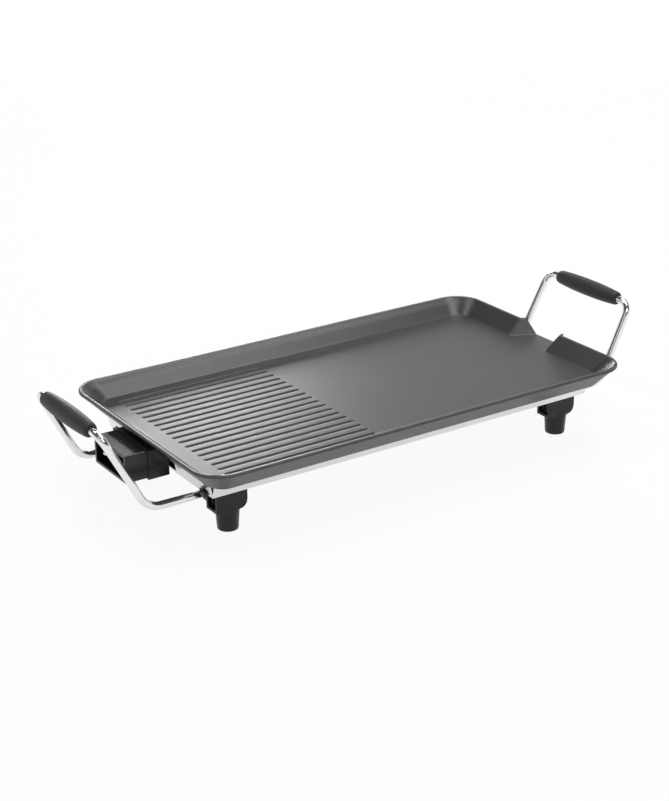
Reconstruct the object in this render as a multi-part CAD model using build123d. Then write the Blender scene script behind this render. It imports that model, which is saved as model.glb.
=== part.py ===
"""Electric table griddle: a die-cast plate, part ribbed and part smooth, over a bent sheet pan on
four moulded feet, with two wire handles and a socket for a plug-in heat control.

Millimetres, +Z up. The origin is on the table under the middle of the plate, +X points to the spout.
"""

import os

from build123d import *

os.makedirs("parts", exist_ok=True)

# Cooking plate, a die casting
PLATE_LENGTH = 480.0
PLATE_WIDTH = 270.0
PLATE_THICKNESS = 5.5
PLATE_CORNER_RADIUS = 30.0
TRAY_DEPTH = 14.5
FLOOR_CORNER_RADIUS = 14.0
FLOOR_EDGE_RADIUS = 3.0
SIDE_WALL_RUN = 11.0
END_WALL_RUN = 16.5
RIM_BAND_RUN = 8.0
RIM_BAND_HEIGHT = 5.0
RIM_WIDTH = 3.0
RIM_EDGE_CHAMFER = 0.7
LIP_HEIGHT = 3.4
LIP_OVERHANG = 2.0
OUTER_WALL_RUN = 17.0
UNDERSIDE_CORNER_RADIUS = 16.0
UNDERSIDE_EDGE_RADIUS = 3.5
SKIRT_DEPTH = 2.5
SKIRT_WIDTH = 4.0

# Grooves of the ribbed part
GROOVE_PITCH = 11.8
GROOVE_LENGTH = 155.6
GROOVE_END_MARGIN = 18.6
GROOVE_FRONT_MARGIN = 10.7
GROOVE_BACK_MARGIN = 14.0
GROOVE_WIDTH = 5.0
GROOVE_DEPTH = 2.2
GROOVE_BOTTOM_WIDTH = 1.4

# Pouring spout in the right-hand wall
SPOUT_MOUTH = 56.0
SPOUT_LIP_WIDTH = 30.0
SPOUT_REACH = 7.0
SPOUT_CHEEK_LEAN = 11.3
SPOUT_CHEEK_WALL = 3.5
SPOUT_LIP_THICKNESS = 3.0
SPOUT_CHEEK_SETBACK = 4.0
SPOUT_FOLD_RADIUS = 2.5

# Base pan, folded from sheet with open corners
PAN_DEPTH = 16.6
PAN_SHEET = 0.8
PAN_FLARE = 3.8
PAN_END_INSET = 21.2
PAN_SIDE_INSET = 32.6
PAN_SOCKET_GAP = 4.0
PAN_SOCKET_SILL = 2.5

# Feet, moulded
FOOT_HEIGHT = 41.4
FOOT_HEAD_HEIGHT = 21.4
FOOT_HEAD_LENGTH = 32.0
FOOT_HEAD_WIDTH = 19.5
FOOT_HEAD_CORNER = 8.0
FOOT_END_INSET = 7.5
FOOT_SIDE_INSET = 6.6
LEG_TOP_DIAMETER = 22.4
LEG_TIP_DIAMETER = 19.6
LEG_FORWARD = 1.6
LEG_SHOULDER_HEIGHT = 5.0
POCKET_DEPTH = 5.0
POCKET_WALL = 3.0
WIRE_BOSS_WIDTH = 11.0
WIRE_BOSS_HEIGHT = 14.5
LUG_WIDTH = 8.5
LUG_THICKNESS = 2.4
LUG_HEIGHT = 3.0
LUG_OFFSET = 8.0

# Wire handles and their grips
WIRE_DIAMETER = 7.5
HANDLE_LOWER_REACH = 48.0
HANDLE_LEAN = 39.5
HANDLE_TAPER = 3.0
HANDLE_RISE = 76.6
WIRE_DROP = 9.1
WIRE_LOWER_BEND = 22.0
WIRE_UPPER_BEND = 14.0
WIRE_INSERTION = 26.0
GRIP_LENGTH = 91.0
GRIP_BARREL_LENGTH = 30.0
GRIP_DIAMETER = 17.6
GRIP_END_DIAMETER = 14.0

# Tubular heating element, cast into a ridge under the plate
TUBE_DIAMETER = 6.5
TUBE_BEND = 20.0
TUBE_SIDE_INSET = 55.0
TUBE_END_INSET = 50.0
TUBE_SEAT = 8.0
RIDGE_WIDTH = 14.0
RIDGE_HEIGHT = 9.0
RIDGE_END_INSET = 10.0

# Posts that centre the plate in the pan
POST_DIAMETER = 8.0
POST_LENGTH = 10.0

# Socket for the heat control
SOCKET_LENGTH = 43.6
SOCKET_WIDTH = 60.0
SOCKET_HEIGHT = 26.8
SOCKET_WALL = 2.5
SOCKET_EDGE_RADIUS = 1.2
SOCKET_DROP = 11.7
COLLAR_LENGTH = 21.0
COLLAR_STEP = 1.0
COLLAR_SILL = 1.8
COLLAR_BULKHEAD = 3.0
COLLAR_CHEEK_REACH = 8.0
SPIGOT_LENGTH = 4.0
SPIGOT_WALL = 1.0
PIN_DIAMETER = 5.0
PIN_STEM_DIAMETER = 3.6
PIN_TIP_CHAMFER = 1.2
PIN_SPACING = 36.0
PIN_SETBACK = 3.0
BEAD_DIAMETER = 9.0
BEAD_PROJECTION = 2.5
SLEEVE_DIAMETER = 8.5
SLEEVE_BORE = 6.5
SLEEVE_LENGTH = 84.0
SLEEVE_BOSS_WIDTH = 15.0
SLEEVE_BOSS_LENGTH = 14.0
EARTH_WIDTH = 8.0
EARTH_SHEET = 0.8
EARTH_LENGTH = 26.0

# Bracket that carries the socket under the plate
BRACKET_SHEET = 1.2
BRACKET_TAB_LENGTH = 28.0
BRACKET_TAB_WIDTH = 26.0
BRACKET_BOSS_MARGIN = 10.0
BRACKET_FLANGE_WIDTH = 52.0
BRACKET_FLANGE_RISE = 4.0
BRACKET_BOSS_DIAMETER = 7.0
BRACKET_BOSS_SPACING = 19.2

# Clearances
SLIDE_GAP = 0.6
SEAT_GAP = 0.1
WALL_GAP = 1.0

# Levels above the table
pan_bottom = FOOT_HEIGHT
pan_floor = pan_bottom + PAN_SHEET
underside = pan_bottom + PAN_DEPTH
skirt_low = underside - SKIRT_DEPTH
floor = underside + PLATE_THICKNESS
rim = floor + TRAY_DEPTH
lip_bottom = rim - LIP_HEIGHT
tube_level = underside - WALL_GAP - TUBE_DIAMETER / 2

# Half sizes of the plate and the pan
plate_x = PLATE_LENGTH / 2
plate_y = PLATE_WIDTH / 2
floor_side_inset = RIM_WIDTH + RIM_BAND_RUN + SIDE_WALL_RUN
floor_end_inset = RIM_WIDTH + END_WALL_RUN
floor_x = plate_x - floor_end_inset
floor_y = plate_y - floor_side_inset
underside_inset = LIP_OVERHANG + OUTER_WALL_RUN
underside_x = plate_x - underside_inset
pan_top_x = plate_x - PAN_END_INSET
pan_top_y = plate_y - PAN_SIDE_INSET
pan_x = pan_top_x - PAN_FLARE
pan_y = pan_top_y - PAN_FLARE


def rounded_frame(end_inset, side_inset, radius, level):
    """Outline of the plate, drawn in from the rim's outer edge, at a height."""
    length = PLATE_LENGTH - 2 * end_inset
    return Pos(0, 0, level) * RectangleRounded(length, PLATE_WIDTH - 2 * side_inset, radius)


def edges_at(shape, level):
    """Edges that lie flat at a height."""
    return shape.edges().filter_by_position(Axis.Z, level, level)


def cylinder_up(x, y, low, high, diameter):
    """Upright round bar between two heights."""
    return Pos(x, y, (low + high) / 2) * Cylinder(diameter / 2, high - low)


def cylinder_along(x_low, x_high, y, z, diameter):
    """Round bar along X between two stations."""
    return Pos((x_low + x_high) / 2, y, z) * Rot(0, 90, 0) * Cylinder(diameter / 2, x_high - x_low)


def block(x_low, x_high, y_low, y_high, z_low, z_high):
    """Rectangular block between six faces."""
    centre = Pos((x_low + x_high) / 2, (y_low + y_high) / 2, (z_low + z_high) / 2)
    return centre * Box(x_high - x_low, y_high - y_low, z_high - z_low)


def save(name, shape):
    """Write one piece, or one group of like pieces, to its own file."""
    export_step(shape, os.path.join("parts", name + ".step"))


# Die-cast plate: flared outer wall down to a skirt, straight lip, and a tray with two-band side walls.
outer_wall = loft(
    [
        rounded_frame(underside_inset, underside_inset, UNDERSIDE_CORNER_RADIUS, skirt_low),
        rounded_frame(LIP_OVERHANG, LIP_OVERHANG, PLATE_CORNER_RADIUS - LIP_OVERHANG, lip_bottom),
    ],
    ruled=True,
)
outer_wall = fillet(edges_at(outer_wall, skirt_low), UNDERSIDE_EDGE_RADIUS)
skirt_inset = underside_inset + SKIRT_WIDTH
skirt_radius = UNDERSIDE_CORNER_RADIUS - SKIRT_WIDTH
outer_wall -= extrude(rounded_frame(skirt_inset, skirt_inset, skirt_radius, skirt_low), SKIRT_DEPTH)
lip = extrude(rounded_frame(0, 0, PLATE_CORNER_RADIUS, lip_bottom), LIP_HEIGHT)
lip = chamfer(edges_at(lip, rim) + edges_at(lip, lip_bottom), RIM_EDGE_CHAMFER)
band_level = rim - RIM_BAND_HEIGHT
band_end_inset = RIM_WIDTH + END_WALL_RUN * RIM_BAND_HEIGHT / TRAY_DEPTH
band_radius = PLATE_CORNER_RADIUS - RIM_BAND_RUN
band = rounded_frame(band_end_inset, RIM_WIDTH + RIM_BAND_RUN, band_radius, band_level)
tray_floor = rounded_frame(floor_end_inset, floor_side_inset, FLOOR_CORNER_RADIUS, floor)
tray_top = rounded_frame(RIM_WIDTH, RIM_WIDTH, PLATE_CORNER_RADIUS - RIM_WIDTH, rim)
lower_tray = loft([tray_floor, band], ruled=True)
upper_tray = loft([band, tray_top], ruled=True)
tray = fillet(edges_at(lower_tray, floor), FLOOR_EDGE_RADIUS) + upper_tray


def cheek_y(x, level):
    """Half width of the spout between its leaning cheeks."""
    taper = (SPOUT_MOUTH - SPOUT_LIP_WIDTH) / 2 / (plate_x + SPOUT_REACH - floor_x)
    lean = SPOUT_CHEEK_LEAN * (level - floor) / TRAY_DEPTH
    return SPOUT_MOUTH / 2 - taper * (x - floor_x) + lean


def spout_section(level, x_low, x_high, wall):
    """Flat four-sided section of the spout, with the cheeks moved out by a wall."""
    low = cheek_y(x_low, level) + wall
    high = cheek_y(x_high, level) + wall
    return Pos(0, 0, level) * make_face(
        Polyline((x_low, -low), (x_high, -high), (x_high, high), (x_low, low), close=True)
    )


# The spout is a funnel through the wall at floor level, between two three-cornered cheeks.
spout_end = plate_x + SPOUT_REACH
spout_base = floor - SPOUT_LIP_THICKNESS
spout_body = loft(
    [
        spout_section(spout_base, underside_x, spout_end, SPOUT_CHEEK_WALL),
        spout_section(rim, underside_x, spout_end - SPOUT_CHEEK_SETBACK, SPOUT_CHEEK_WALL),
    ],
    ruled=True,
)
funnel = loft(
    [
        spout_section(floor, floor_x - END_WALL_RUN, spout_end + SPOUT_REACH, 0),
        spout_section(rim + RIM_WIDTH, floor_x - END_WALL_RUN, spout_end + SPOUT_REACH, 0),
    ],
    ruled=True,
)
plate = outer_wall + lip + spout_body - tray - funnel
folds = [
    edge
    for edge in plate.edges()
    if abs(edge.center().Y) < SPOUT_MOUTH
    and floor_x < edge.center().X < plate_x
    and edge.bounding_box().min.Z > floor
    and edge.bounding_box().size.Z > TRAY_DEPTH / 2
]
plate = fillet(folds, SPOUT_FOLD_RADIUS)

# Grooves: leaning walls, a narrow flat bottom, and ends rounded in plan.
groove_half_width = GROOVE_WIDTH / 2
half_groove = make_face(
    Polyline(
        (0, WALL_GAP),
        (groove_half_width, WALL_GAP),
        (groove_half_width, 0),
        (GROOVE_BOTTOM_WIDTH / 2, -GROOVE_DEPTH),
        (0, -GROOVE_DEPTH),
        close=True,
    )
)
groove_end = revolve(Plane.XZ * half_groove, Axis.Z)
groove_run = extrude(Plane.YZ * (half_groove + mirror(half_groove, Plane.YZ)), GROOVE_LENGTH)
groove = groove_run + groove_end + Pos(GROOVE_LENGTH, 0, 0) * groove_end
groove_band = 2 * floor_y - GROOVE_FRONT_MARGIN - GROOVE_BACK_MARGIN
groove_count = int(groove_band / GROOVE_PITCH) + 1
groove_start = floor_x - GROOVE_END_MARGIN
for index in range(groove_count):
    groove_y = GROOVE_FRONT_MARGIN - floor_y + index * GROOVE_PITCH
    plate -= Pos(-groove_start, groove_y, floor) * groove

# Under the plate: the ridge with the element cast in, from one terminal round the plate to the other.
terminal_y = PIN_SPACING / 2
tube_x = plate_x - TUBE_END_INSET
tube_y = plate_y - TUBE_SIDE_INSET
ridge_start = RIDGE_END_INSET - underside_x
ridge_route = FilletPolyline(
    (ridge_start, terminal_y, underside),
    (-tube_x, terminal_y, underside),
    (-tube_x, tube_y, underside),
    (tube_x, tube_y, underside),
    (tube_x, -tube_y, underside),
    (-tube_x, -tube_y, underside),
    (-tube_x, -terminal_y, underside),
    (ridge_start, -terminal_y, underside),
    radius=TUBE_BEND,
)
ridge_section = Pos(0, -RIDGE_HEIGHT / 2) * Rectangle(RIDGE_WIDTH, RIDGE_HEIGHT)
ridge_plane = Plane(ridge_route @ 0, x_dir=(0, 1, 0), z_dir=ridge_route % 0)
plate += sweep(ridge_plane * ridge_section, path=ridge_route)
collar_rear = -underside_x
bulkhead_rear = collar_rear - COLLAR_CHEEK_REACH
bulkhead_front = bulkhead_rear - COLLAR_BULKHEAD
tube_end = bulkhead_rear + COLLAR_BULKHEAD
tube_stop = ridge_start + TUBE_SEAT
tube_hole = TUBE_DIAMETER + 2 * SEAT_GAP
tube_ends = []
skirt_gap = terminal_y + TUBE_DIAMETER / 2 + WALL_GAP
plate -= block(-plate_x, SKIRT_WIDTH - underside_x, -skirt_gap, skirt_gap, skirt_low, underside)
for pin_y in (-terminal_y, terminal_y):
    plate -= cylinder_along(ridge_start, tube_stop + SEAT_GAP, pin_y, tube_level, tube_hole)
    tube_ends.append(cylinder_along(tube_end, tube_stop, pin_y, tube_level, TUBE_DIAMETER))
save("heating_element", Compound(children=tube_ends))

# Also under the plate: bosses for the bracket and the probe sleeve, and posts that drop into the pan.
bead_front = bulkhead_front - BEAD_PROJECTION
sleeve_end = bead_front + SLEEVE_LENGTH
sleeve_level = underside - WALL_GAP - SLEEVE_DIAMETER / 2
bracket_top = sleeve_level - SLEEVE_DIAMETER / 2 - WALL_GAP
bracket_low = bracket_top - BRACKET_SHEET
flange_x = bulkhead_rear + BRACKET_SHEET
bracket_end = flange_x + BRACKET_TAB_LENGTH
boss_x = bracket_end - BRACKET_BOSS_MARGIN
for boss_y in (-BRACKET_BOSS_SPACING / 2, BRACKET_BOSS_SPACING / 2):
    plate += cylinder_up(boss_x, boss_y, bracket_top, underside, BRACKET_BOSS_DIAMETER)
post_x = pan_x - PAN_SHEET - SLIDE_GAP - POST_DIAMETER / 2
post_y = pan_y - PAN_SHEET - SLIDE_GAP - POST_DIAMETER / 2
for side_x in (-1, 1):
    for side_y in (-1, 1):
        plate += cylinder_up(
            side_x * post_x, side_y * post_y, underside - POST_LENGTH, underside, POST_DIAMETER
        )
sleeve_boss_low = sleeve_level - SLEEVE_BOSS_WIDTH / 2
plate += block(
    sleeve_end - SLEEVE_BOSS_LENGTH,
    sleeve_end,
    -SLEEVE_BOSS_WIDTH / 2,
    SLEEVE_BOSS_WIDTH / 2,
    sleeve_boss_low,
    underside,
)
sleeve_hole = SLEEVE_DIAMETER + 2 * SEAT_GAP
plate -= cylinder_along(sleeve_end - SLEEVE_BOSS_LENGTH, sleeve_end, 0, sleeve_level, sleeve_hole)
save("cooking_plate", plate)

# Socket: a shroud open at its outer end, plugged into a collar that ends in two cheeks under the plate.
socket_low = tube_level - SOCKET_DROP
socket_high = socket_low + SOCKET_HEIGHT
socket_y = SOCKET_WIDTH / 2
collar_front = collar_rear - COLLAR_LENGTH
socket_mouth = collar_rear - SOCKET_LENGTH
spigot_end = collar_front + SPIGOT_LENGTH


def tunnel(x_low, x_high, inset):
    """Block along X with the socket's section, drawn in on all four sides."""
    low, high = socket_low + inset, socket_high - inset
    return block(x_low, x_high, inset - socket_y, socket_y - inset, low, high)


shroud = tunnel(socket_mouth, collar_front, 0)
shroud = fillet(shroud.edges().filter_by(Axis.X), SOCKET_EDGE_RADIUS)
shroud += tunnel(collar_front, spigot_end, SOCKET_WALL - SPIGOT_WALL)
shroud -= tunnel(socket_mouth, spigot_end, SOCKET_WALL)
save("socket_shroud", shroud)

collar_y = socket_y + COLLAR_STEP
collar_low = socket_low - COLLAR_SILL
collar_high = socket_high + COLLAR_STEP
wall_slope = (lip_bottom - skirt_low) / OUTER_WALL_RUN
cheek_top = skirt_low - WALL_GAP
roof_end = -underside_x - (collar_high - cheek_top) / wall_slope
collar_profile = make_face(
    Polyline(
        (collar_front, collar_low),
        (collar_rear, collar_low),
        (collar_rear, cheek_top),
        (roof_end, collar_high),
        (collar_front, collar_high),
        close=True,
    )
)
collar = extrude(Plane.XZ * collar_profile, collar_y, both=True)
long_edges = collar.edges().filter_by(Axis.X).group_by(Axis.Z)
collar = fillet(long_edges[0] + long_edges[-1], SOCKET_EDGE_RADIUS)
collar -= tunnel(collar_front, bulkhead_front, SOCKET_WALL)
collar -= tunnel(collar_front, spigot_end, SOCKET_WALL - SPIGOT_WALL - SEAT_GAP)
collar -= block(
    bulkhead_rear,
    collar_rear,
    SOCKET_WALL - socket_y,
    socket_y - SOCKET_WALL,
    socket_low + SOCKET_WALL,
    collar_high,
)
bead_hole = BEAD_DIAMETER + 2 * SEAT_GAP
earth_z = socket_low + SOCKET_WALL
flange_low = socket_low + SOCKET_WALL + SEAT_GAP
flange_high = underside + BRACKET_FLANGE_RISE


def drill_through(shape, x_low, x_high):
    """Holes for the two beads and the probe sleeve."""
    shape -= cylinder_along(x_low, x_high, 0, sleeve_level, sleeve_hole)
    for pin_y in (-terminal_y, terminal_y):
        shape -= cylinder_along(x_low, x_high, pin_y, tube_level, bead_hole)
    return shape


save("socket_collar", drill_through(collar, bulkhead_front, bulkhead_rear))

# Folded bracket: a flange behind the bulkhead and a tab under two bosses of the plate.
flange_y = BRACKET_FLANGE_WIDTH / 2
tab_y = BRACKET_TAB_WIDTH / 2
flange = block(bulkhead_rear, flange_x, -flange_y, flange_y, flange_low, flange_high)
bracket = drill_through(flange, bulkhead_rear, flange_x)
bracket += block(flange_x, bracket_end, -tab_y, tab_y, bracket_low, bracket_top)
save("socket_bracket", bracket)

# Inside the socket: contact pins in ceramic beads, the sleeve for the probe, and the earth strip.
pin_tip = socket_mouth + PIN_SETBACK
bead_bore = PIN_STEM_DIAMETER + 2 * SEAT_GAP
pins = []
beads = []
for pin_y in (-terminal_y, terminal_y):
    pin = cylinder_along(pin_tip, bead_front, pin_y, tube_level, PIN_DIAMETER)
    pin = chamfer(pin.edges().group_by(Axis.X)[0], PIN_TIP_CHAMFER)
    pins.append(pin + cylinder_along(bead_front, tube_end, pin_y, tube_level, PIN_STEM_DIAMETER))
    bead = cylinder_along(bead_front, tube_end, pin_y, tube_level, BEAD_DIAMETER)
    beads.append(bead - cylinder_along(bead_front, tube_end, pin_y, tube_level, bead_bore))
save("terminal_pins", Compound(children=pins))
save("pin_insulators", Compound(children=beads))
sleeve = cylinder_along(bead_front, sleeve_end, 0, sleeve_level, SLEEVE_DIAMETER)
sleeve -= cylinder_along(bead_front, sleeve_end, 0, sleeve_level, SLEEVE_BORE)
save("probe_sleeve", sleeve)
earth_front = bulkhead_front - EARTH_LENGTH
earth = block(earth_front, bulkhead_front, -EARTH_WIDTH / 2, EARTH_WIDTH / 2, earth_z, earth_z + EARTH_SHEET)
earth += block(
    bulkhead_front - EARTH_SHEET,
    bulkhead_front,
    -EARTH_WIDTH / 2,
    EARTH_WIDTH / 2,
    earth_z,
    sleeve_level - SLEEVE_DIAMETER / 2 - SLIDE_GAP,
)
save("earth_contact", earth)

# Base pan: a floor and four flaps folded up and outwards, with open corners and a way out for the socket.
pan = block(-pan_x, pan_x, -pan_y, pan_y, pan_bottom, pan_floor)


def flap(half_length, base, top):
    """Folded side of the pan up to a height, standing at the base distance in +X and running along Y."""
    flare = PAN_FLARE * (top - pan_bottom) / PAN_DEPTH
    section = make_face(
        Polyline(
            (base - PAN_SHEET, pan_bottom),
            (base, pan_bottom),
            (base + flare, top),
            (base + flare - PAN_SHEET, top),
            close=True,
        )
    )
    return extrude(Plane.XZ * section, half_length, both=True)


end_flap = flap(pan_y, pan_x, skirt_low)
side_flap = Rot(0, 0, 90) * flap(pan_x, pan_y, underside)
pan += end_flap + mirror(end_flap, Plane.YZ) + side_flap + mirror(side_flap, Plane.XZ)
way_out = socket_y + PAN_SOCKET_GAP
pan -= block(-plate_x, WALL_GAP - pan_x, -way_out, way_out, pan_bottom + PAN_SOCKET_SILL, underside)
save("base_pan", pan)

# Foot head: hollow at both ends and rounded under one of them, on a tapered leg.
head_outer = pan_x - FOOT_END_INSET
head_inner = head_outer - FOOT_HEAD_LENGTH
head_front = pan_y - FOOT_SIDE_INSET
head_back = head_front - FOOT_HEAD_WIDTH
head_low = pan_bottom - FOOT_HEAD_HEIGHT
head_x = (head_outer + head_inner) / 2
head = block(head_inner, head_outer, head_back, head_front, head_low, pan_bottom)
lower_edges = edges_at(head, head_low).filter_by(Axis.Y).sort_by(Axis.X)
head = fillet(lower_edges[0], FOOT_HEAD_CORNER)
for pocket_low, pocket_high in (
    (head_inner, head_inner + POCKET_DEPTH),
    (head_outer - POCKET_DEPTH, head_outer),
):
    head -= block(
        pocket_low,
        pocket_high,
        head_back + POCKET_WALL,
        head_front - POCKET_WALL,
        head_low + POCKET_WALL,
        pan_bottom - POCKET_WALL,
    )
leg_y = head_front + LEG_FORWARD - LEG_TOP_DIAMETER / 2
leg_profile = make_face(
    Polyline(
        (0, 0),
        (LEG_TIP_DIAMETER / 2, 0),
        (LEG_TOP_DIAMETER / 2, head_low),
        (LEG_TOP_DIAMETER / 2, head_low + LEG_SHOULDER_HEIGHT),
        (0, head_low + LEG_SHOULDER_HEIGHT),
        close=True,
    )
)
leg = Pos(head_x, leg_y, 0) * revolve(Plane.XZ * leg_profile, Axis.Z)

# Behind the head a boss takes the handle's wire, and a lug holds the pan's end from outside.
boss_back = head_back - WIRE_BOSS_WIDTH
boss_low = pan_bottom - WIRE_BOSS_HEIGHT
wire_y = head_back - WIRE_BOSS_WIDTH / 2
wire_level = pan_bottom - WIRE_DROP
wire_hole = WIRE_DIAMETER + 2 * SEAT_GAP
wire_stop = head_outer - WIRE_INSERTION
wire_boss = block(head_inner, head_outer, boss_back, head_back, boss_low, pan_bottom)
wire_boss -= cylinder_along(wire_stop - SEAT_GAP, head_outer, wire_y, wire_level, wire_hole)
lug_low = pan_bottom - LUG_THICKNESS
lug_high = pan_bottom + LUG_HEIGHT
lug_base = pan_x + SEAT_GAP
lug_tip = lug_base + PAN_FLARE * LUG_HEIGHT / PAN_DEPTH
lug_profile = make_face(
    Polyline(
        (head_outer - POCKET_DEPTH, lug_low),
        (lug_base + LUG_THICKNESS, lug_low),
        (lug_tip + LUG_THICKNESS, lug_high),
        (lug_tip, lug_high),
        (lug_base, pan_bottom),
        (head_outer - POCKET_DEPTH, pan_bottom),
        close=True,
    )
)
lug = Pos(0, head_front - LUG_OFFSET, 0) * extrude(Plane.XZ * lug_profile, LUG_WIDTH / 2, both=True)
fixings = leg + wire_boss + lug


def at_corner(shape, side_x, side_y):
    """Copy of a corner piece, mirrored to one of the four corners."""
    if side_x < 0:
        shape = mirror(shape, Plane.YZ)
    if side_y < 0:
        shape = mirror(shape, Plane.XZ)
    return shape


# One moulded head serves all corners, so its rounded end faces right in front and left at the back.
rounded_inside = head + fixings
rounded_outside = mirror(head, Plane.YZ.offset(head_x)) + fixings
save("foot_front_left", at_corner(rounded_inside, -1, -1))
save("foot_front_right", at_corner(rounded_outside, 1, -1))
save("foot_back_left", at_corner(rounded_outside, -1, 1))
save("foot_back_right", at_corner(rounded_inside, 1, 1))

# Handles: one bent wire each, from foot to foot, leaning outwards, with a barrel grip on the top bar.
bend_x = pan_x + HANDLE_LOWER_REACH
bar_x = bend_x + HANDLE_LEAN
bar_y = wire_y - HANDLE_TAPER
bar_z = wire_level + HANDLE_RISE
wire_route = FilletPolyline(
    (wire_stop, wire_y, wire_level),
    (bend_x, wire_y, wire_level),
    (bar_x, bar_y, bar_z),
    (bar_x, -bar_y, bar_z),
    (bend_x, -wire_y, wire_level),
    (wire_stop, -wire_y, wire_level),
    radius=[WIRE_LOWER_BEND, WIRE_UPPER_BEND, WIRE_UPPER_BEND, WIRE_LOWER_BEND],
)
wire_section = Plane(wire_route @ 0, z_dir=wire_route % 0) * Circle(WIRE_DIAMETER / 2)
wire = sweep(wire_section, path=wire_route)
save("handle_right", wire)
save("handle_left", mirror(wire, Plane.YZ))
grip_y = GRIP_LENGTH / 2
grip_bore = WIRE_DIAMETER / 2 + SEAT_GAP
barrel_y = GRIP_BARREL_LENGTH / 2
grip_profile = make_face(
    Polyline(
        (grip_bore, -grip_y),
        (GRIP_END_DIAMETER / 2, -grip_y),
        (GRIP_DIAMETER / 2, -barrel_y),
        (GRIP_DIAMETER / 2, barrel_y),
        (GRIP_END_DIAMETER / 2, grip_y),
        (grip_bore, grip_y),
        close=True,
    )
)
grip = Pos(bar_x, 0, bar_z) * revolve(grip_profile, Axis.Y)
save("grip_right", grip)
save("grip_left", mirror(grip, Plane.YZ))
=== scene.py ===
"""Looks of the electric table griddle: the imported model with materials, softened feet, grips and screws."""

from math import copysign, pi, radians

import bmesh
import bpy
from mathutils import Euler, Matrix, Vector


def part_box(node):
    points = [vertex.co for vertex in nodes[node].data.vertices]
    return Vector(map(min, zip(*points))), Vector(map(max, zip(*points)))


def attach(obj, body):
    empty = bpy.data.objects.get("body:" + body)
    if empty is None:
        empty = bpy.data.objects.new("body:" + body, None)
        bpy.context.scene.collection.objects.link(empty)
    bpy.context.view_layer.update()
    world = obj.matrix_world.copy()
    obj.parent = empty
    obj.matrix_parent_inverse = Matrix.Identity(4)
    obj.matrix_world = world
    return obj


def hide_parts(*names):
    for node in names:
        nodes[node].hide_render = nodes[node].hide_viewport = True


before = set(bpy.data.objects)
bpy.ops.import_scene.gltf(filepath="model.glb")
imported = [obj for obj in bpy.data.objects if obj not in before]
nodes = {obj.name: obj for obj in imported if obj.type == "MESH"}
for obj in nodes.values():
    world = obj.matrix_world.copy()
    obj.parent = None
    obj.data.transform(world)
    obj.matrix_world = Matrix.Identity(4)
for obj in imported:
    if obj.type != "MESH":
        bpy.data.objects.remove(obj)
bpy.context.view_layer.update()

# The base pan is bright sheet steel, cut flat and folded up on four sides with the corners left open.
# Its rolled surface has a fine grain along the length, and it is polished rather than plated.


class Value:
    """A shader socket that can be used in Python expressions."""

    def __init__(self, socket):
        self.socket = socket

    def node(self, kind, settings, sockets, output=0):
        """Add a node of a kind, set it up, fill its sockets with values or links, and give one output."""
        tree = self.socket.node.id_data
        added = tree.nodes.new(kind)
        for name, value in settings.items():
            setattr(added, name, value)
        for name, value in sockets.items():
            if isinstance(value, Value):
                tree.links.new(value.socket, added.inputs[name])
            else:
                added.inputs[name].default_value = value
        return Value(added.outputs[output])

    def maths(self, operation, first, second):
        """Work out a Math node's operation on two values or numbers."""
        return self.node("ShaderNodeMath", {"operation": operation}, {0: first, 1: second})

    def __add__(self, other):
        return self.maths("ADD", self, other)

    def __sub__(self, other):
        return self.maths("SUBTRACT", self, other)

    def __rsub__(self, other):
        return self.maths("SUBTRACT", other, self)

    def __mul__(self, other):
        return self.maths("MULTIPLY", self, other)

    __radd__ = __add__
    __rmul__ = __mul__

    def noise(self, scale, detail=2.0, stretch=(1, 1, 1)):
        """Cloudy pattern with features of about one over the scale, in metres, from 0 to 1."""
        place = self.node("ShaderNodeMapping", {}, {"Vector": self, "Scale": stretch})
        return self.node("ShaderNodeTexNoise", {}, {"Vector": place, "Scale": scale, "Detail": detail})

    def between(self, dark, light):
        """Colour between two colours, mixed by this value."""
        settings = {"data_type": "RGBA"}
        return self.node("ShaderNodeMix", settings, {0: self, 6: (*dark, 1), 7: (*light, 1)}, output=2)

    def bump(self, strength, depth, over=None, invert=False):
        """Surface raised by this value to a depth in metres, over the plain surface or a softened one."""
        sockets = {"Height": self, "Strength": strength, "Distance": depth}
        if over is not None:
            sockets["Normal"] = over
        return self.node("ShaderNodeBump", {"invert": invert}, sockets)


def new_finish(name, **constants):
    """Material with one Principled shader; gives the material, the shader and the place on the surface."""
    material = bpy.data.materials.new(name)
    material.use_nodes = True
    tree = material.node_tree
    shader = tree.nodes["Principled BSDF"]
    for socket, value in constants.items():
        shader.inputs[socket.replace("_", " ").title()].default_value = value
    place = Value(tree.nodes.new("ShaderNodeTexCoord").outputs["Object"])
    return material, shader, place


def feed(shader, **values):
    """Link values that change over the surface to a shader's sockets."""
    for socket, value in values.items():
        shader.id_data.links.new(value.socket, shader.inputs[socket.replace("_", " ").title()])


def dress(material, *names):
    """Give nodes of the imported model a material."""
    for name in names:
        mesh = nodes[name].data
        mesh.materials.clear()
        mesh.materials.append(material)


sheet_dark = (0.72, 0.72, 0.73)
sheet_light = (0.84, 0.84, 0.84)
along_length = (0.02, 1, 1)
sheet, shader, place = new_finish("bright_sheet", metallic=1.0)
grain = place.noise(900, stretch=along_length)
cloud = place.noise(14)
feed(
    shader,
    base_color=cloud.between(sheet_dark, sheet_light),
    roughness=0.12 + 0.1 * grain + 0.06 * cloud,
    normal=grain.bump(strength=0.12, depth=0.0001),
)
dress(sheet, "base_pan")

# The four feet are black moulded plastic with a satin mould texture, screwed under the pan.
# Each head is hollow at its sides, and a lug of it hooks up the end of the pan.
# They are softened here: the leg's step at the shoulder runs flush into the head, and edges are rounded.
foot_dark = (0.007, 0.007, 0.0075)
foot_light = (0.014, 0.014, 0.0145)
foot_edge_radius = 0.0007
foot_plastic, shader, place = new_finish("foot_plastic")
shader.inputs["Specular IOR Level"].default_value = 0.36
mould = place.noise(1800)
worn = place.noise(40, detail=4.0)


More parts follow.
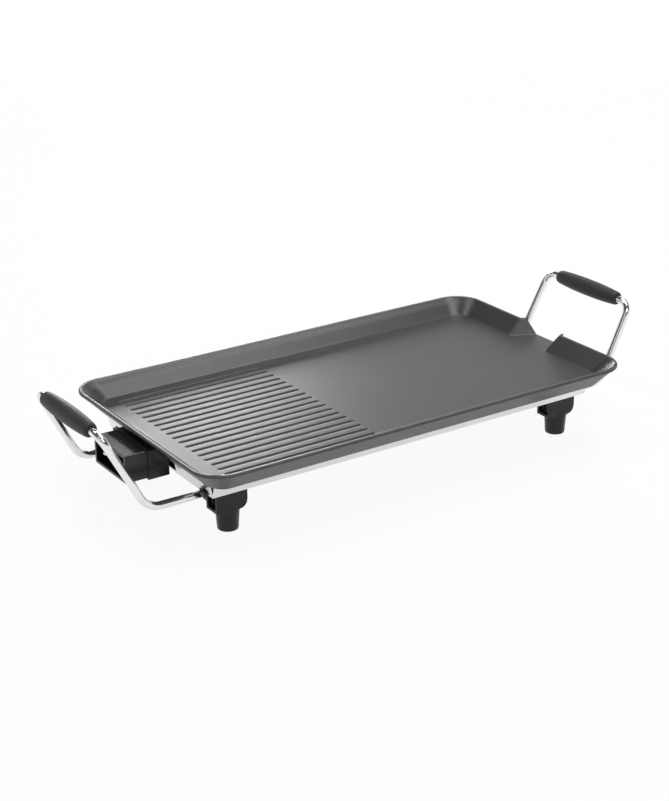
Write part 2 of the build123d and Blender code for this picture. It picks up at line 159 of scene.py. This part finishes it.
def soft_edge(place, radius):
    """Surface with its edges rounded by a radius in metres, for the shading only."""
    return place.node("ShaderNodeBevel", {"samples": 6}, {"Radius": radius})


feed(
    shader,
    base_color=worn.between(foot_dark, foot_light),
    roughness=0.2 + 0.1 * worn,
    normal=mould.bump(strength=0.08, depth=0.00008, over=soft_edge(place, foot_edge_radius)),
)

weld = 1e-6


def add_piece(name, shape, material, body):
    """Finish a bmesh as a smooth piece that rides on a body."""
    bmesh.ops.remove_doubles(shape, verts=shape.verts, dist=weld)
    bmesh.ops.recalc_face_normals(shape, faces=shape.faces)
    mesh = bpy.data.meshes.new(name)
    shape.to_mesh(mesh)
    shape.free()
    mesh.materials.append(material)
    mesh.shade_smooth()
    piece = bpy.data.objects.new(name, mesh)
    bpy.context.scene.collection.objects.link(piece)
    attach(piece, body)
    return piece


shoulder_level = 0.025
level_slack = 1e-5
leg_proud = 0.0016
voxel = 0.0005
soften_passes = 18
kept_share = 0.25
head_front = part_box("foot_back_left")[1].y - leg_proud
for corner in ("front_left", "front_right", "back_left", "back_right"):
    node = nodes["foot_" + corner]
    shape = bmesh.new()
    shape.from_mesh(node.data)
    shape.transform(node.matrix_world)
    bmesh.ops.remove_doubles(shape, verts=shape.verts, dist=weld)
    for vert in shape.verts:
        if abs(vert.co.z - shoulder_level) < level_slack and abs(vert.co.y) > head_front:
            vert.co.y = copysign(head_front, vert.co.y)
    foot = add_piece("moulded_foot_" + corner, shape, foot_plastic, "base")
    blend = foot.modifiers.new("blend", "REMESH")
    blend.mode = "VOXEL"
    blend.voxel_size = voxel
    blend.use_smooth_shade = True
    soften = foot.modifiers.new("soften", "SMOOTH")
    soften.factor = 0.5
    soften.iterations = soften_passes
    thin_out = foot.modifiers.new("thin_out", "DECIMATE")
    thin_out.ratio = kept_share
    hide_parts("foot_" + corner)

# The handles are bent from one steel wire each and plated bright.
# Both ends of a wire are pushed into bores in the feet and locked there by a screw.
plating_dark = (0.78, 0.78, 0.79)
plating_light = (0.9, 0.9, 0.9)
plated_wire, shader, place = new_finish("plated_wire", metallic=1.0)
haze = place.noise(60, detail=3.0)
draw_lines = place.noise(1500)
feed(
    shader,
    base_color=haze.between(plating_dark, plating_light),
    roughness=0.1 + 0.08 * haze,
    normal=draw_lines.bump(strength=0.02, depth=0.00003),
)
dress(plated_wire, "handle_left", "handle_right")

# The grips are barrels of dark plastic slipped over the wire's top bar, with rounded ends.
# They are turned here with the soft swelling that the plain cones of the model stand for.
grip_dark = (0.018, 0.018, 0.019)
grip_light = (0.034, 0.034, 0.035)
grip_plastic, shader, place = new_finish("grip_plastic")
mould = place.noise(1500)
worn = place.noise(30, detail=4.0)
feed(
    shader,
    base_color=worn.between(grip_dark, grip_light),
    roughness=0.5 + 0.12 * worn,
    normal=mould.bump(strength=0.06, depth=0.00006),
)
# The rounded end as depth from the end face and radius, from the bore outwards.
end_rings = ((0.0006, 0.00395), (0.0002, 0.0046), (0.0002, 0.0058), (0.0012, 0.0067), (0.0032, 0.0071))
# The swelling as shares of half the length, from the middle, and of the largest radius.
swelling = ((0.72, 0.895), (0.45, 0.965), (0.2, 0.995), (0, 1))
turning_steps = 48
for side in ("left", "right"):
    low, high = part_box("grip_" + side)
    half_length = (high.y - low.y) / 2
    radius = (high.x - low.x) / 2
    stations = [(half_length - depth, reach) for depth, reach in end_rings]
    stations += [(half_length * along, radius * share) for along, share in swelling]
    shape = bmesh.new()
    profile = [shape.verts.new((reach, y, 0)) for y, reach in stations]
    run = [shape.edges.new(pair) for pair in zip(profile, profile[1:])]
    bmesh.ops.mirror(shape, geom=profile + run, axis="Y", merge_dist=weld)
    bmesh.ops.spin(
        shape,
        geom=shape.verts[:] + shape.edges[:],
        cent=(0, 0, 0),
        axis=(0, 1, 0),
        angle=2 * pi,
        steps=turning_steps,
        use_merge=True,
    )
    bmesh.ops.translate(shape, vec=(low + high) / 2, verts=shape.verts)
    grip = add_piece("turned_grip_" + side, shape, grip_plastic, "base")
    swell = grip.modifiers.new("swell", "SUBSURF")
    swell.levels = swell.render_levels = 1
    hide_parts("grip_" + side)

# The cooking plate is a die casting of aluminium with a dark grey non-stick coating, baked on in layers.
# The coating is satin with a fine grain and pale flecks. The edges of the ribs, rim and folds are painted
# lighter: partly coating worn thin there, partly a painted highlight where rounded edges catch the light.
# A soft crease runs along the upper part of the long walls.
coat_dark = (0.02, 0.02, 0.021)
coat_light = (0.11, 0.11, 0.113)
plate_edge_radius = 0.0016
worn_and_lit_edge_radius = 0.002
worn_and_lit_edge_gain = 30
crease_start = 0.1235
crease_end = 0.129
crease_depth = 0.0008
upward_least = 0.1
coated_plate, shader, place = new_finish("coated_plate")
grain = place.noise(650, detail=3.0)
flecks = place.noise(1500)
cloud = place.noise(9, detail=3.0)
peel = place.noise(190, detail=4.0)
patches = place.noise(70, detail=4.0)
fine = grain * 0.6 + flecks * 0.4


def part_of(vector, axis):
    """One axis of a vector."""
    return vector.node("ShaderNodeSeparateXYZ", {}, {"Vector": vector}, output=axis)


def ramp(value, start, end, first, last):
    """Value that runs from first to last while another runs from start to end."""
    sockets = {"Value": value, "From Min": start, "From Max": end, "To Min": first, "To Max": last}
    return value.node("ShaderNodeMapRange", {}, sockets)


facing = place.node("ShaderNodeNewGeometry", {}, {}, output="Normal")
upward = place.maths("GREATER_THAN", part_of(facing, "Z"), upward_least)
across = place.maths("ABSOLUTE", part_of(place, "Y"), 0.0)
ledge = ramp(across, crease_start, crease_end, 0.0, 1.0)
crease = (upward * ledge * ledge).bump(
    strength=1.0, depth=crease_depth, over=soft_edge(place, plate_edge_radius), invert=True
)
bend = place.node(
    "ShaderNodeVectorMath",
    {"operation": "DOT_PRODUCT"},
    {0: soft_edge(place, worn_and_lit_edge_radius), 1: facing},
    output="Value",
)
# Edges are painted lighter in colour: partly coating worn thin over them, partly a painted highlight where
# the rim and folds catch the light.
worn_and_lit_edges = place.maths("MINIMUM", worn_and_lit_edge_gain * (1 - bend), 1.0) * patches
feed(
    shader,
    base_color=(0.3 * fine + 0.1 * cloud + 0.9 * worn_and_lit_edges).between(coat_dark, coat_light),
    roughness=0.27 + 0.08 * fine + 0.06 * peel,
    normal=(fine + 0.5 * peel).bump(strength=0.5, depth=0.0003, over=crease),
)
dress(coated_plate, "cooking_plate")

# The heating element is a steel tube cast into a ridge under the plate.
# Only the two cold ends of its sheath come out at the socket, tinted by the heat.
sheath_dark = (0.2, 0.18, 0.16)
sheath_light = (0.36, 0.35, 0.34)
sheath, shader, place = new_finish("element_sheath", metallic=1.0)
scale = place.noise(300, detail=4.0)
feed(
    shader,
    base_color=scale.between(sheath_dark, sheath_light),
    roughness=0.36 + 0.2 * scale,
)
dress(sheath, "heating_element")

# The socket is moulded in two halves of glossy heat-proof plastic: an outer shroud and an inner collar.
# The collar's cheeks reach under the plate, and the heat control plugs into the open end.
socket_dark = (0.004, 0.004, 0.0042)
socket_light = (0.009, 0.009, 0.0092)
socket_edge_radius = 0.0006
socket_plastic, shader, place = new_finish("socket_plastic")
mould = place.noise(700)
worn = place.noise(50, detail=4.0)
feed(
    shader,
    base_color=worn.between(socket_dark, socket_light),
    roughness=0.2 + 0.04 * worn,
    normal=mould.bump(strength=0.05, depth=0.0001, over=soft_edge(place, socket_edge_radius)),
)
dress(socket_plastic, "socket_shroud", "socket_collar")

# In the socket stand two nickel-plated pins, each in a ceramic bead that is set in the collar.
# Between them are an earth strip on the socket's floor and a long sleeve for the control's probe.
nickel_dark = (0.66, 0.65, 0.62)
nickel_light = (0.82, 0.81, 0.78)
bead_dark = (0.66, 0.64, 0.58)
bead_light = (0.82, 0.81, 0.77)
along_pins = (0.1, 1, 1)
contact_metal, shader, place = new_finish("contact_metal", metallic=1.0)
rub = place.noise(700, stretch=along_pins)
feed(
    shader,
    base_color=rub.between(nickel_dark, nickel_light),
    roughness=0.2 + 0.14 * rub,
)
dress(contact_metal, "terminal_pins", "earth_contact", "probe_sleeve")
ceramic, shader, place = new_finish("bead_ceramic")
speck = place.noise(900, detail=3.0)
feed(
    shader,
    base_color=speck.between(bead_dark, bead_light),
    roughness=0.3 + 0.2 * speck,
)
dress(ceramic, "pin_insulators")

# The bracket that carries the socket is folded from zinc-plated sheet, with a flange and a tab.
# The zinc leaves patchy crystals, and the tab is screwed under two bosses of the plate.
zinc_dark = (0.5, 0.51, 0.52)
zinc_light = (0.68, 0.69, 0.7)
zinc, shader, place = new_finish("zinc_sheet", metallic=1.0)
crystal = place.node("ShaderNodeTexVoronoi", {}, {"Vector": place, "Scale": 260}, output="Distance")
feed(
    shader,
    base_color=crystal.between(zinc_dark, zinc_light),
    roughness=0.28 + 0.2 * crystal,
)
dress(zinc, "socket_bracket")

# Steel screws with a chamfered head and a hexagon socket hold the feet to the pan.
# Smaller ones lock the wires in the feet from below.
# Four more fix the bracket to two bosses of the plate and the socket to the bracket.
screw_dark = (0.42, 0.42, 0.43)
screw_light = (0.62, 0.62, 0.63)
screw_steel, shader, place = new_finish("screw_steel", metallic=1.0)
turned = place.noise(1400, detail=3.0)
feed(
    shader,
    base_color=turned.between(screw_dark, screw_light),
    roughness=0.24 + 0.16 * turned,
)
up = Vector((0, 0, 1))
down = Vector((0, 0, -1))
left = Vector((-1, 0, 0))
rim_sides = 24
key_sides = 6


def add_head(shape, seat, way, radius, height):
    """Add a screw head to a mesh, on a seat and facing a way."""
    others = set(shape.verts)

    def grow(edges, factor, rise):
        """Pull a ring of edges to a new ring, narrower by a factor and higher by a rise."""
        added = bmesh.ops.extrude_edge_only(shape, edges=edges)["geom"]
        verts = [item for item in added if isinstance(item, bmesh.types.BMVert)]
        bmesh.ops.scale(shape, vec=(factor, factor, 1), verts=verts)
        bmesh.ops.translate(shape, vec=(0, 0, rise), verts=verts)
        added_edges = [item for item in added if isinstance(item, bmesh.types.BMEdge)]
        return [edge for edge in added_edges if set(edge.verts) <= set(verts)]

    def ring(count, reach, level, closed):
        """Circle of edges at a level."""
        verts = bmesh.ops.create_circle(shape, segments=count, radius=reach, cap_ends=closed)["verts"]
        bmesh.ops.translate(shape, vec=(0, 0, level), verts=verts)
        return list({edge for vert in verts for edge in vert.link_edges})

    base = ring(rim_sides, radius, 0, True)
    side = grow(base, 1, 0.5 * height)
    top = grow(side, 0.86, 0.5 * height)
    key = ring(key_sides, 0.5 * radius, height, False)
    bmesh.ops.bridge_loops(shape, edges=top + key)
    bmesh.ops.edgeloop_fill(shape, edges=grow(key, 1, -0.6 * height))
    turn = up.rotation_difference(way).to_matrix().to_4x4()
    verts = [vert for vert in shape.verts if vert not in others]
    bmesh.ops.transform(shape, matrix=Matrix.Translation(seat) @ turn, verts=verts)


pan_floor = 0.0422
pan_screw_columns = (0.183, 0.2)
pan_screw_row = 0.08
pan_screw = {"radius": 0.0034, "height": 0.002}
wire_screw_seat = (0.1945, 0.067, 0.0269)
wire_screw = {"radius": 0.0024, "height": 0.0012}
shape = bmesh.new()
for side_x in (-1, 1):
    for side_y in (-1, 1):
        for column in pan_screw_columns:
            add_head(shape, (side_x * column, side_y * pan_screw_row, pan_floor), up, **pan_screw)
        x, y, z = wire_screw_seat
        add_head(shape, (side_x * x, side_y * y, z), down, **wire_screw)
foot_screws = add_piece("foot_screws", shape, screw_steel, "base")

tab_screw_seat = (-0.2098, 0.0096, 0.0463)
tab_screw = {"radius": 0.003, "height": 0.0018}
flange_screw_seat = (-0.232, 0.0222, 0.0479)
flange_screw = {"radius": 0.0022, "height": 0.0014}
shape = bmesh.new()
for side_y in (-1, 1):
    x, y, z = tab_screw_seat
    add_head(shape, (x, side_y * y, z), down, **tab_screw)
    x, y, z = flange_screw_seat
    add_head(shape, (x, side_y * y, z), left, **flange_screw)
socket_screws = add_piece("socket_screws", shape, screw_steel, "plate_unit")

sharp_angle = radians(35)
for screws in (foot_screws, socket_screws):
    screws.data.set_sharp_from_angle(angle=sharp_angle)

# The griddle stands on a plain white table top that runs on into a white surround.
# The table keeps the soft shadow of the feet and the pan, and turns pure white further out.
table_white = (0.86, 0.86, 0.86, 1)
half_table = 12
shadow_reach = 0.6
plain_reach = 2.5
near_glow = 0.92
mirrored_glow = 0.75
white, shader, place = new_finish("white_table", base_color=table_white, roughness=0.7)


def ray_is(value, kind):
    """1 for light rays of a kind, and 0 for the others."""
    return value.node("ShaderNodeLightPath", {}, {}, output=kind)


seen = ray_is(place, "Is Camera Ray")
gloss = ray_is(place, "Is Glossy Ray")
through = ray_is(place, "Is Transmission Ray")
shown = place.maths("MINIMUM", seen + mirrored_glow * gloss + through, 1.0)
reach = place.node("ShaderNodeVectorMath", {"operation": "LENGTH"}, {0: place}, output="Value")
cover = ramp(reach, shadow_reach, plain_reach, near_glow, 1.0)
glow = place.node("ShaderNodeEmission", {}, {"Color": (1, 1, 1, 1), "Strength": 1.0})
table_mix = place.node("ShaderNodeMixShader", {}, {0: cover * shown, 1: Value(shader.outputs[0]), 2: glow})
white.node_tree.links.new(table_mix.socket, white.node_tree.nodes["Material Output"].inputs["Surface"])
shape = bmesh.new()
bmesh.ops.create_grid(shape, x_segments=1, y_segments=1, size=half_table)
table_mesh = bpy.data.meshes.new("table")
shape.to_mesh(table_mesh)
shape.free()
table_mesh.materials.append(white)
table = bpy.data.objects.new("table", table_mesh)
bpy.context.scene.collection.objects.link(table)

# Soft studio light: a pale surround, a strong narrow panel far behind the right end and low down,
# which streaks over the tray, and weaker panels above and around the griddle that fill the rest.
plain_light = 0.3
high_mirrored = 0.1
bright_below = 0.12
dim_above = 0.38
world = bpy.data.worlds.new("surround")
world.use_nodes = True
bpy.context.scene.world = world
background = world.node_tree.nodes["Background"]
background.inputs["Color"].default_value = (1, 1, 1, 1)
way = Value(world.node_tree.nodes.new("ShaderNodeTexCoord").outputs["Generated"])
mirrored = ramp(part_of(way, "Z"), bright_below, dim_above, 1.0, high_mirrored)
lit = plain_light + ray_is(way, "Is Glossy Ray") * (mirrored - plain_light)
strength = way.maths("MAXIMUM", ray_is(way, "Is Camera Ray"), lit)
world.node_tree.links.new(strength.socket, background.inputs["Strength"])
aim = Vector((0, 0, 0.06))


def add_panel(name, place, width, height, power):
    """Soft rectangular light that faces the griddle."""
    lamp = bpy.data.lights.new(name, "AREA")
    lamp.shape = "RECTANGLE"
    lamp.size = width
    lamp.size_y = height
    lamp.energy = power
    panel = bpy.data.objects.new(name, lamp)
    panel.location = place
    panel.rotation_euler = (aim - Vector(place)).to_track_quat("-Z", "Y").to_euler()
    bpy.context.scene.collection.objects.link(panel)


add_panel("panel_back", (2.5, 5.0, 1.1), width=0.6, height=1.6, power=67)
add_panel("panel_back_right", (1.9, 1.6, 1.0), width=1.4, height=1.4, power=3)
add_panel("panel_front_left", (-2.0, -1.2, 1.8), width=1.4, height=1.4, power=4)
add_panel("panel_front", (-0.1, -1.9, 2.1), width=1.2, height=0.8, power=13)
add_panel("panel_above_back", (1.1, 0.95, 2.1), width=0.7, height=0.7, power=9)
add_panel("panel_above_right", (0.9, -0.25, 2.4), width=1.2, height=1.0, power=25)
add_panel("panel_above_left", (-0.6, 1.0, 2.3), width=0.7, height=0.7, power=11)

# The camera looks down from the front left, as the photograph does.
# Its stand, turn and lens are fitted to points of the griddle that are seen there.
photo_height = 801
focal_pixels = 1735.7
sensor_width = 36
stand = (-0.88424, -1.30436, 0.69992)
tilt_down = radians(22.390)
heading = radians(-33.503)
roll = radians(-0.505)
lens = bpy.data.cameras.new("camera")
lens.sensor_width = sensor_width
lens.lens = focal_pixels * sensor_width / photo_height
camera = bpy.data.objects.new("camera", lens)
turn = Euler((pi / 2 - tilt_down, 0, heading)).to_matrix() @ Matrix.Rotation(roll, 3, "Z")
camera.matrix_world = Matrix.Translation(stand) @ turn.to_4x4()
bpy.context.scene.collection.objects.link(camera)
bpy.context.scene.camera = camera
bpy.context.scene.view_settings.view_transform = "Standard"
